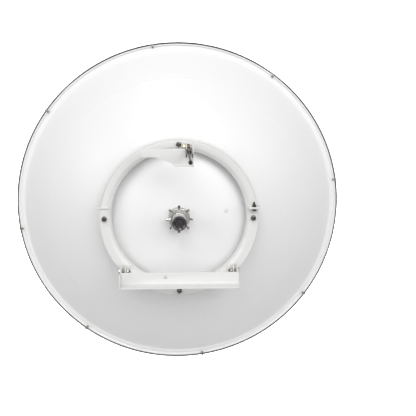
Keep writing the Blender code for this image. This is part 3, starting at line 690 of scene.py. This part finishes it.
# %% [markdown]
# Reflector
#
# The dish is spun from one aluminium sheet. From the rim inwards it has a turned lip, a
# rolled bead, a groove, a flange that rolls over to its flat inner part, and then the bowl,
# whose depth follows a parabola. The spinning tool leaves a faint ridge part of the way in.
# The section is drawn with many points, so that the reflections run smoothly, and a
# Solidify modifier gives the sheet its thickness.

# %% Model the reflector
APERTURE = 0.572
BOWL_DEPTH = 0.262
FEED_HOLE = 0.0265
SHEET = 0.0025
RIM_RADIUS = (cad_box[1][0] - cad_box[0][0]) / 2
HOOP_WALL = 0.0042
HOOP_GAP = 0.0003
LIP = RIM_RADIUS - HOOP_WALL - HOOP_GAP
BEAD = 0.003
BEAD_EDGE = LIP - 2 * BEAD
ROLL = 0.014
ROLL_START = APERTURE + 0.0045
RIDGE_RADIUS = 0.475
RIDGE_RISE = 0.0005
RIDGE_WIDTH = 0.0035
RIDGE_REACH = 0.006
BOWL_EDGE = APERTURE - 0.002


def bowl_back(radius):
    """Depth of the bowl's back at a radius, with the faint ridge of the spinning."""
    off = (radius - RIDGE_RADIUS) / RIDGE_WIDTH
    ridge = RIDGE_RISE * max(0.0, 1 - off * off)
    return BOWL_DEPTH * (1 - (radius / APERTURE) ** 2) + ridge


rim_section = [(LIP, -LIP_DEPTH)]
rim_section += round_corner((LIP - BEAD, -0.0008), BEAD, 0, 185, 9)
rim_section += [(BEAD_EDGE - 0.0004, -0.0028), (BEAD_EDGE - 0.0012, -0.0037),
                (BEAD_EDGE - 0.0022, -0.0038)]
rim_section += round_corner((ROLL_START, -ROLL), ROLL, 50, 90, 7)
rim_section += [(APERTURE + 0.0020, 0.0001), (APERTURE + 0.0008, 0.0004),
                (APERTURE - 0.0004, 0.0009)]
bowl_radii = spaced(BOWL_EDGE, RIDGE_RADIUS + RIDGE_REACH, 9)
bowl_radii += [RIDGE_RADIUS + offset for offset in (0.0035, 0.0018, 0.0, -0.0018, -0.0035)]
bowl_radii += spaced(RIDGE_RADIUS - RIDGE_REACH, FEED_HOLE, 30)
bowl_section = [(radius, bowl_back(radius)) for radius in bowl_radii]
dish = turned(rim_section + bowl_section, 160)
sheet = dish.modifiers.new("sheet", "SOLIDIFY")
sheet.thickness = SHEET
sheet.offset = -1
sheet.use_even_offset = True
apply_modifiers(dish)
dress(dish, "dish_shell", dish_paint, "dish", 40, "reflector")

# %% [markdown]
# Plug
#
# A round white plug closes a small hole in the bowl, to the right of the feed. It is a low
# turned button, and it lies along the bowl's slope there.

# %% Model the plug
PLUG_RIGHT, PLUG_UP = 0.1664, 0.0205
plug_radius = sqrt(PLUG_RIGHT ** 2 + PLUG_UP ** 2)
slope = 2 * BOWL_DEPTH * plug_radius / APERTURE ** 2
outward = Vector((slope * PLUG_RIGHT / plug_radius, -1.0, slope * PLUG_UP / plug_radius))
lean = [degrees(angle) for angle in outward.to_track_quat("Z", "Y").to_euler()]
plug_section = [
    (0, -0.0008), (0.0084, -0.0008), (0.0086, 0.0003), (0.0081, 0.0009), (0.0069, 0.0011),
    (0.0064, 0.0008), (0.0059, 0.0011), (0.0030, 0.0014), (0, 0.0015),
]
plug = spun(plug_section, 40)
place(plug, at(PLUG_RIGHT, PLUG_UP, bowl_back(plug_radius)), lean)
dress(plug, "bowl_plug", plug_plastic, "dish", 40)

# %% [markdown]
# Rim hoop
#
# A bare metal hoop is rolled round the turned lip and stiffens it. It is a flat band with
# rounded edges, so its section is a closed outline with four rounded corners.

# %% Model the rim hoop
HOOP_INNER = LIP + HOOP_GAP
HOOP_OUTER = RIM_RADIUS
HOOP_BACK = 0.002
HOOP_FRONT = -0.026
EDGE_ROUND = 0.0010
inner, outer = HOOP_INNER + EDGE_ROUND, HOOP_OUTER - EDGE_ROUND
front, back = HOOP_FRONT + EDGE_ROUND, HOOP_BACK - EDGE_ROUND
hoop_section = []
for number, centre in enumerate([(outer, back), (inner, back), (inner, front), (outer, front)]):
    start = 90 * number
    hoop_section += round_corner(centre, EDGE_ROUND, start, start + 90, 3)
hoop = turned(hoop_section, 160, closed=True)
dress(hoop, "rim_band", hoop_painted_reflection, "dish", 40, "rim_hoop")

# %% [markdown]
# Fasteners
#
# A nut is a six sided block whose corners are cut back by a turned disc. That is how the
# real one is chamfered, and a Boolean modifier does the same. A thread is drawn as a zigzag
# section and spun, which reads as a thread at this size and stays closed. One bolt is then
# a stack of head, washers, shank, nut and thread, as long as the CAD bolt it stands for.

# %% Write the fastener helpers
GAP = 0.0003
M10 = {"shank": 0.005, "flats": 0.016, "nut": 0.008, "washer": 0.0092, "wall": 0.002,
       "pitch": 0.0015}
M8 = {"shank": 0.004, "flats": 0.013, "nut": 0.0065, "washer": 0.0082, "wall": 0.0016,
      "pitch": 0.00125}
CHAMFER_CIRCLE = 0.485
CHAMFER_SLOPE = 0.58


def cut(piece, tool, operation):
    """Applies one Boolean to a piece, removes the tool and cleans the new edges."""
    step = piece.modifiers.new(operation.lower(), "BOOLEAN")
    step.operation = operation
    step.object = tool
    step.solver = "EXACT"
    apply_modifiers(piece)
    bpy.data.objects.remove(tool)
    close_up(piece)
    return piece


def hexagon(flats, low, high):
    """A six sided block along Z, chamfered by a turned disc."""
    corner = flats / sqrt(3)
    inner = flats * CHAMFER_CIRCLE
    drop = (corner - inner) * CHAMFER_SLOPE
    outside = corner + 0.0001
    deselect()
    bpy.ops.mesh.primitive_cylinder_add(vertices=6, radius=corner, depth=high - low + 0.0004,
                                        location=(0, 0, (low + high) / 2))
    blank = bpy.context.object
    apply_place(blank)
    disc = spun([(0, low), (inner, low), (outside, low + drop), (outside, high - drop),
                 (inner, high), (0, high)], 36)
    return cut(blank, disc, "INTERSECT")


def washer(radius, low, high):
    """A disc along Z with chamfered edges. The bolt through it is a piece of its own."""
    soft = 0.0003
    return spun([(0, low), (radius - soft, low), (radius, low + soft), (radius, high - soft),
                 (radius - soft, high), (0, high)], 32)


def thread(radius, low, high, pitch):
    """A closed rod along Z with a zigzag surface and a chamfered end."""
    root = radius - 0.55 * pitch
    count = max(1, int((high - low - pitch) / pitch))
    section = [(0, low), (root, low)]
    for turn in range(count):
        start = low + turn * pitch
        section += [(radius, start + 0.45 * pitch), (radius, start + 0.55 * pitch),
                    (root, start + pitch)]
    section += [(root, high - 0.3 * pitch), (root - 0.3 * pitch, high), (0, high)]
    return spun(section, 20)


def joined(parts):
    """Several pieces as one object."""
    deselect()
    for part in parts:
        part.select_set(True)
    bpy.context.view_layer.objects.active = parts[0]
    bpy.ops.object.join()
    return bpy.context.object


def nut_end(size, start, end):
    """Washer, nut and thread along Z, with the thread ending at a height."""
    nut_low = start + size["wall"]
    nut_high = nut_low + size["nut"]
    return [washer(size["washer"], start, nut_low), hexagon(size["flats"], nut_low, nut_high),
            thread(size["shank"], nut_high - size["pitch"], end, size["pitch"])]


def head_end(size, head):
    """Head and washer along Z, from a height of zero."""
    return [hexagon(size["flats"], 0, head), washer(size["washer"], head, head + size["wall"])]


def shank(radius, low, high):
    """A plain round rod along Z."""
    return spun([(0, low), (radius, low), (radius, high), (0, high)], 24)


def bolt(size, length, head, stub, collar=None):
    """A whole bolt along Z, from its head at zero to the end of its thread."""
    nut_low = length - stub - size["nut"] - size["wall"]
    parts = head_end(size, head) + [shank(size["shank"], head, nut_low)]
    parts += nut_end(size, nut_low, length)
    if collar:
        parts.append(shank(*collar))
    return joined(parts)


def centre_of(node):
    """The middle of a CAD node's box."""
    low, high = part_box(node)
    return (low + high) / 2


print("nuts", M8["flats"], M10["flats"])

# %% [markdown]
# Studs and bolts
#
# Four studs hold the mounting ring, each with a washer and a nut. One is modelled and
# copied, and each copy is turned a little, because real nuts stop where they are tight.
# The joint bolts stand upright through the ring's end plates. The pivot bolts lie across
# the antenna, and each has a spacer between its arm and its lug.

# %% Model the ring's four studs once, and copy them
STUD_END = 0.006
STUD_LAP = 0.001
STUD_TURN = 11
low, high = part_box("ring_bolt_top")
stud_length = high.y - low.y
nut_start = stud_length - STUD_END - M10["nut"] - M10["wall"]
first_stud = joined([shank(M10["shank"], 0, nut_start + STUD_LAP)]
                    + nut_end(M10, nut_start, stud_length))
for number, side in enumerate(("right", "top", "left", "bottom")):
    stud = first_stud if side == "bottom" else copy_of(first_stud)
    centre = centre_of(f"ring_bolt_{side}")
    place(stud, (centre.x, high.y, centre.z), (90, STUD_TURN * number, 0))
    dress(stud, f"ring_stud_{side}", bronze_plate, "dish", 30, f"ring_bolt_{side}")

# %% Model the bolts of the joints and the pivots
JOINT_HEAD = 0.0065
JOINT_TURN = 20
PIVOT_HEAD = 0.006
PIVOT_STUB = 0.005
SPACER_RADIUS = 0.0065
for side, stub in (("right", 0.009), ("left", 0.006)):
    low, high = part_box(f"joint_bolt_{side}")
    made = bolt(M8, high.z - low.z, JOINT_HEAD, stub)
    centre = centre_of(f"joint_bolt_{side}")
    place(made, (centre.x, centre.y, low.z), (0, 0, JOINT_TURN))
    dress(made, f"plate_bolt_{side}", bronze_plate, "dish", 30, f"joint_bolt_{side}")

for side, outward in (("left", -1), ("right", 1)):
    low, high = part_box(f"pivot_bolt_{side}")
    length = high.x - low.x
    arm_low, arm_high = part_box(f"arm_{side}")
    lug_low, lug_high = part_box(f"pivot_lug_{side}")
    if outward < 0:
        head_x, spacer = low.x, (arm_high.x + GAP - low.x, lug_low.x - GAP - low.x)
    else:
        head_x, spacer = high.x, (high.x - arm_low.x + GAP, high.x - lug_high.x - GAP)
    made = bolt(M10, length, PIVOT_HEAD, PIVOT_STUB, (SPACER_RADIUS, *spacer))
    centre = centre_of(f"pivot_bolt_{side}")
    place(made, (head_x, centre.y, centre.z), (0, -90 * outward, 0))
    dress(made, f"pivot_pin_{side}", bronze_plate, "mast_side", 30, f"pivot_bolt_{side}")

# %% [markdown]
# The bolt through the rod's eye has a dark head on the right and a yellow plated nut on
# the left, so it is two pieces with two finishes. The dark one stands for the CAD bolt.

# %% Model the bolt through the rod's eye
EYE_HEAD = 0.006
EYE_STUB = 0.003
low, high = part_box("top_pivot_bolt")
length = high.x - low.x
nut_low = length - EYE_STUB - M10["nut"] - M10["wall"]
centre = centre_of("top_pivot_bolt")
spot = (high.x, centre.y, centre.z)
eye_pin = joined(head_end(M10, EYE_HEAD) + [shank(M10["shank"], EYE_HEAD, nut_low)])
dress(place(eye_pin, spot, (0, -90, 0)), "eye_pin", bronze_plate, "dish", 30, "top_pivot_bolt")
eye_nut = joined(nut_end(M10, nut_low, length))
dress(place(eye_nut, spot, (0, -90, 0)), "eye_nut", yellow_plate, "dish", 30)

# %% [markdown]
# Mounting ring
#
# The ring is a channel pressed from sheet, in two halves that are bolted together. Its face
# is flat under the bolts, slopes off a little towards the middle, and turns down into a
# nearly straight inner wall. The upper half has a step along its outer side. Each half is
# spun from its section, given its thickness, and cut where the halves meet. Its end plates
# are welded on.

# %% Model the two halves of the ring
low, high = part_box("ring_upper")
PLATE = 0.003
PLATE_LAP = 0.0015
PLATE_SOFT = 0.0005
RING_OUTER = (high.x - low.x) / 2 - PLATE_LAP
RING_INNER = RING_OUTER - 0.042
RING_FACE = RIM_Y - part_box("standoff_top")[0].y + 0.0033
RING_WALL = 0.003
FACE_SLOPE = ((0.0148, 0.0), (0.0132, 0.0004), (0.0115, 0.0012))
FOLD = 0.0040
FOLD_DEPTH = 0.0098
TOE_IN = 0.0030
TOE_DEPTH = 0.0340


def ring_section(outside):
    """The channel's section from its outer edge over the face to the toe by the dish."""
    face = [(RING_INNER + out, RING_FACE - drop) for out, drop in FACE_SLOPE]
    fold = round_corner((RING_INNER + FOLD, RING_FACE - FOLD_DEPTH), FOLD, 118, 175, 4)
    return outside + face + fold + [(RING_INNER - TOE_IN, RING_FACE - TOE_DEPTH)]


def block(low, high):
    """A box between two corners, with its edges rounded."""
    deselect()
    bpy.ops.mesh.primitive_cube_add(size=1.0, location=(Vector(low) + Vector(high)) / 2)
    made = bpy.context.object
    made.scale = Vector(high) - Vector(low)
    apply_place(made)
    edge = made.modifiers.new("edge", "BEVEL")
    edge.width = PLATE_SOFT
    edge.segments = 2
    apply_modifiers(made)
    return made


def ring_half(node, name, outside, upper):
    """One half of the ring with its two end plates, each of which is drawn between its ends
    along the ring and between its depths before and behind the face."""
    half = turned(ring_section(outside), 144)
    wall = half.modifiers.new("wall", "SOLIDIFY")
    wall.thickness = RING_WALL
    wall.offset = -1
    wall.use_even_offset = True
    apply_modifiers(half)
    low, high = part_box(node)
    joint = low.z if upper else high.z
    edit(half)
    bpy.ops.mesh.bisect(plane_co=(0, 0, joint), plane_no=(0, 0, 1), use_fill=True,
                        clear_inner=upper, clear_outer=not upper)
    bpy.ops.object.mode_set(mode="OBJECT")
    parts = [half]
    for start, end, sunk, rise in [
            (RING_INNER + 0.004, RING_OUTER + PLATE_LAP, -0.027, 0.024),
            (-RING_OUTER - PLATE_LAP, -RING_INNER - 0.004, -0.041, 0.0045)]:
        first, last = at(start, 0, RING_FACE + rise), at(end, 0, RING_FACE + sunk)
        span = (joint, joint + PLATE) if upper else (joint - PLATE, joint)
        parts.append(block((first.x, first.y, span[0]), (last.x, last.y, span[1])))
    dress(joined(parts), name, steel_paint, "dish", 30, node)


CORNER = 0.0035
STEP = RING_OUTER - 0.0065
STEP_DEPTH = 0.0275
upper_outside = [(RING_OUTER, RING_FACE - STEP_DEPTH), (STEP + 0.0035, RING_FACE - STEP_DEPTH),
                 (STEP + 0.0012, RING_FACE - 0.0268), (STEP + 0.0003, RING_FACE - 0.0245)]
upper_outside += round_corner((STEP - CORNER, RING_FACE - CORNER), CORNER, 0, 90, 5)
ring_half("ring_upper", "ring_top_half", upper_outside, True)
EDGE = RING_OUTER - 0.0025
EDGE_DEPTH = 0.030
lower_outside = [(EDGE, RING_FACE - EDGE_DEPTH)]
lower_outside += round_corner((EDGE - CORNER, RING_FACE - CORNER), CORNER, 0, 90, 5)
ring_half("ring_lower", "ring_bottom_half", lower_outside, False)

# %% [markdown]
# Painted steel
#
# The lugs, the arms, the cross member and the bracket are cut and bent plates. Their forms
# are in the CAD already. A painted edge is never sharp, and the light that it catches shows
# how thick the plate is, so each gets a copy with rounded edges.

# %% Round the edges of the plates, the fork and the clips
for side in ("left", "right"):
    softened(f"pivot_lug_{side}", f"lug_plate_{side}", 0.0005, steel_paint, "dish")
    softened(f"arm_{side}", f"arm_plate_{side}", 0.0005, steel_paint, "mast_side")
softened("top_lug", "eye_plate", 0.0005, steel_paint, "dish")
softened("cross_member", "cross_angle", 0.0006, steel_paint, "mast_side")
softened("top_bracket", "bracket_plate", 0.0005, steel_paint, "mast_side")
softened("adjuster_fork", "fork_prongs", 0.0006, bronze_plate, "mast_side")
for side in ("right", "top", "left", "bottom"):
    softened(f"standoff_{side}", f"ring_post_{side}", 0.0004, steel_paint, "dish")
for number in range(1, 9):
    softened(f"rim_clip_{number}", f"hoop_strap_{number}", 0.0003, clip_plate, "dish")

# %% [markdown]
# Collar
#
# A turned collar sits on the dish's vertex and holds the feed. It has a wider foot, a
# groove, chamfered corners and a shallow ring in its face. Seven small screws point at the
# feed, and the eighth place has a bored boss instead. One screw is modelled and copied.

# %% Model the collar, its screws and its boss
COLLAR_DEPTH = 0.0262
BORE = 0.0245
foot = RIM_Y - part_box("feed_collar")[1].y
face = foot + COLLAR_DEPTH
collar_section = [
    (BORE, foot), (0.0378, foot), (0.0385, foot + 0.0007), (0.0385, foot + 0.0048),
    (0.0377, foot + 0.0057), (0.0350, foot + 0.0060), (0.0346, foot + 0.0075),
    (0.0355, foot + 0.0086), (0.0355, face - 0.0016), (0.0339, face), (0.0312, face),
    (0.0309, face - 0.0009), (0.0299, face - 0.0009), (0.0296, face),
    (BORE + 0.0020, face), (BORE, face - 0.0020),
]
collar = turned(collar_section, 72, closed=True)
dress(collar, "collar_body", machined, "dish", 30, "feed_collar")

SCREW_BACK = foot + 0.0212
SCREW_FLATS = 0.008
SCREW_HEAD = (0.0417, 0.0485)
SCREW_RADIUS = 0.0025
SCREW_SHANK = (0.0330, 0.0420)
first_screw = joined([hexagon(SCREW_FLATS, *SCREW_HEAD), shank(SCREW_RADIUS, *SCREW_SHANK)])
for number in (0, 1, 2, 3, 4, 5, 7):
    screw = first_screw if number == 7 else copy_of(first_screw)
    place(screw, at(0, 0, SCREW_BACK), (0, 45 * number, 0))
    dress(screw, f"collar_screw_{number}", bronze_plate, "dish", 30)

PORT_RADIUS = 0.0075
PORT_END = 0.0465
PORT_RISE = 0.0005
port_section = [
    (0, 0.0290), (PORT_RADIUS - 0.0006, 0.0290), (PORT_RADIUS, 0.0296), (PORT_RADIUS, 0.0385),
    (PORT_RADIUS - 0.0008, 0.0390), (PORT_RADIUS - 0.0008, 0.0404), (PORT_RADIUS, 0.0409),
    (PORT_RADIUS, PORT_END - 0.0010), (PORT_RADIUS - 0.0010, PORT_END), (0.0042, PORT_END),
    (0.0036, PORT_END - 0.0006), (0.0036, PORT_END - 0.0055), (0, PORT_END - 0.0068),
]
port = place(spun(port_section, 40), at(0, 0, face + PORT_RISE), (0, -90, 0))
dress(port, "collar_port", machined, "dish", 30)

# %% [markdown]
# End of the feed
#
# The feed ends in a dark anodised socket. Its rim is turned, and its inside narrows to a
# flat floor with a bright contact ring, a pin and four screw heads. The sloping inside is
# what shows as bright and dark arcs, so it is modelled rather than painted.

# %% Model the end of the feed
low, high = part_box("feed_socket")
SOCKET_FRONT = RIM_Y - high.y
SOCKET_RADIUS = (high.x - low.x) / 2
rim = RIM_Y - low.y
socket_section = [
    (0, rim - 0.0040), (0.0034, rim - 0.0040), (0.0042, rim - 0.0048), (0.0042, rim - 0.0088),
    (0.0130, rim - 0.0088), (0.0138, rim - 0.0080), (0.0170, rim - 0.0056),
    (0.0196, rim - 0.0030), (0.0212, rim - 0.0022), (0.0216, rim - 0.0004), (0.0221, rim),
    (0.0240, rim), (SOCKET_RADIUS, rim - 0.0007), (SOCKET_RADIUS, rim - 0.0060),
    (SOCKET_RADIUS - 0.0006, rim - 0.0066), (SOCKET_RADIUS - 0.0006, rim - 0.0078),
    (SOCKET_RADIUS, rim - 0.0084), (SOCKET_RADIUS, SOCKET_FRONT), (0, SOCKET_FRONT),
]
socket = turned(socket_section, 72)
dress(socket, "feed_end", feed_dark, "feed", 30, "feed_socket")

floor_back = rim - 0.0088
contact_section = [
    (0.0078, floor_back), (0.0104, floor_back), (0.0104, floor_back + 0.0024),
    (0.0099, floor_back + 0.0029), (0.0083, floor_back + 0.0029), (0.0078, floor_back + 0.0024),
]
contact = turned(contact_section, 48, closed=True)
dress(contact, "feed_contact", contact_metal, "feed", 30)

DOME_CIRCLE = 0.0165
DOME_DEPTH = 0.0064
dome = [(0, 0), (0.0016, 0), (0.0015, 0.0006), (0.0011, 0.0011), (0.0005, 0.0013), (0, 0.0013)]
first_dome = spun(dome, 16)
for number in range(4):
    screw = first_dome if number == 3 else copy_of(first_dome)
    turn = radians(45 + 90 * number)
    spot = at(DOME_CIRCLE * cos(turn), DOME_CIRCLE * sin(turn), rim - DOME_DEPTH)
    place(screw, spot, (90, 0, 0))
    dress(screw, f"feed_screw_{number + 1}", blued_steel, "feed", 30)

# %% [markdown]
# Adjuster
#
# The rod has an eye at the dish and a thread along its whole length. One turn of the thread
# is modelled, and an Array modifier repeats it. The rubber cap on the end is moulded with
# two shallow grooves. The nuts have a bore wider than the rod, which leaves the rod room to
# tilt, and each part of a nut is bored before they are joined.

# %% Model the rod, its cap and its nuts
ROD_RADIUS = 0.003
ROD_START = 0.0088
USUAL_PITCH = 0.0015
EYE_RADIUS = 0.0105
low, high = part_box("adjuster_rod")
middle = (low + high) / 2
eye_centre = (middle.x, high.y - EYE_RADIUS, middle.z)
rod_end = eye_centre[1] - low.y
turns = int((rod_end - ROD_START) / USUAL_PITCH)
pitch = (rod_end - ROD_START) / turns
root = ROD_RADIUS - 0.0007
rod = spun([(root, ROD_START), (ROD_RADIUS, ROD_START + 0.4 * pitch),
            (ROD_RADIUS, ROD_START + 0.6 * pitch), (root, ROD_START + pitch)], 16)
repeat = rod.modifiers.new("repeat", "ARRAY")
repeat.use_relative_offset = False
repeat.use_constant_offset = True
repeat.constant_offset_displace = (0, 0, pitch)
repeat.count = turns
repeat.use_merge_vertices = True
repeat.merge_threshold = 0.00002
apply_modifiers(rod)
edit(rod)
bpy.ops.mesh.fill_holes(sides=0)
bpy.ops.mesh.normals_make_consistent(inside=False)
bpy.ops.object.mode_set(mode="OBJECT")
place(rod, eye_centre, (90, 0, 0))
eye_section = [
    (0.0054, -0.0029), (0.0060, -0.0035), (0.0098, -0.0035), (EYE_RADIUS, -0.0028),
    (EYE_RADIUS, 0.0028), (0.0098, 0.0035), (0.0060, 0.0035), (0.0054, 0.0029),
]
eye = place(spun(eye_section, 40, closed=True), eye_centre, (0, 90, 0))
dress(joined([eye, rod]), "threaded_rod", bronze_plate, "adjuster", 30, "adjuster_rod")

cap_section = [
    (0, 0), (0.0052, 0), (0.0062, 0.0006), (0.0066, 0.0014), (0.0066, 0.0032),
    (0.0061, 0.0037), (0.0061, 0.0044), (0.0066, 0.0049), (0.0066, 0.0066), (0.0061, 0.0071),
    (0.0061, 0.0078), (0.0066, 0.0083), (0.0065, 0.0104), (0.0060, 0.0118),
    (0.0049, 0.0126), (0.0030, 0.0130), (0, 0.0130),
]
centre = centre_of("rod_cap")
cap_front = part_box("rod_cap")[1].y
cap = place(spun(cap_section, 40), (centre.x, cap_front, centre.z), (90, 0, 0))
dress(cap, "rod_end_cap", cap_rubber, "adjuster", 40, "rod_cap")

NUT_WASHER = 0.0016
NUT_BORE = 0.0046
for side, radius, turn in (("front", 0.0088, -90), ("back", 0.0075, 90)):
    low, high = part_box(f"adjuster_nut_{side}")
    parts = [washer(radius, 0, NUT_WASHER), hexagon(M8["flats"], NUT_WASHER, high.y - low.y)]
    nut = joined([cut(part, shank(NUT_BORE, -0.01, 0.02), "DIFFERENCE") for part in parts])
    centre = centre_of(f"adjuster_nut_{side}")
    place(nut, (centre.x, low.y if turn < 0 else high.y, centre.z), (turn, 0, 0))
    dress(nut, f"rod_nut_{side}", bronze_plate, "mast_side", 30, f"adjuster_nut_{side}")

# %% [markdown]
# Front of the feed
#
# The photo doesn't show the front, so these pieces follow the CAD's plain forms: a tube, a
# moulded cone and a round splash plate. Their edges are rounded, so that they hold up in a
# close view.

# %% Round the edges of the tube, the cone and the splash plate
softened("feed_tube", "tube_wall", 0.0004, machined, "feed")
softened("feed_cone", "cone_body", 0.0012, cone_plastic, "feed")
softened("splash_plate", "splash_disc", 0.0006, machined, "feed")
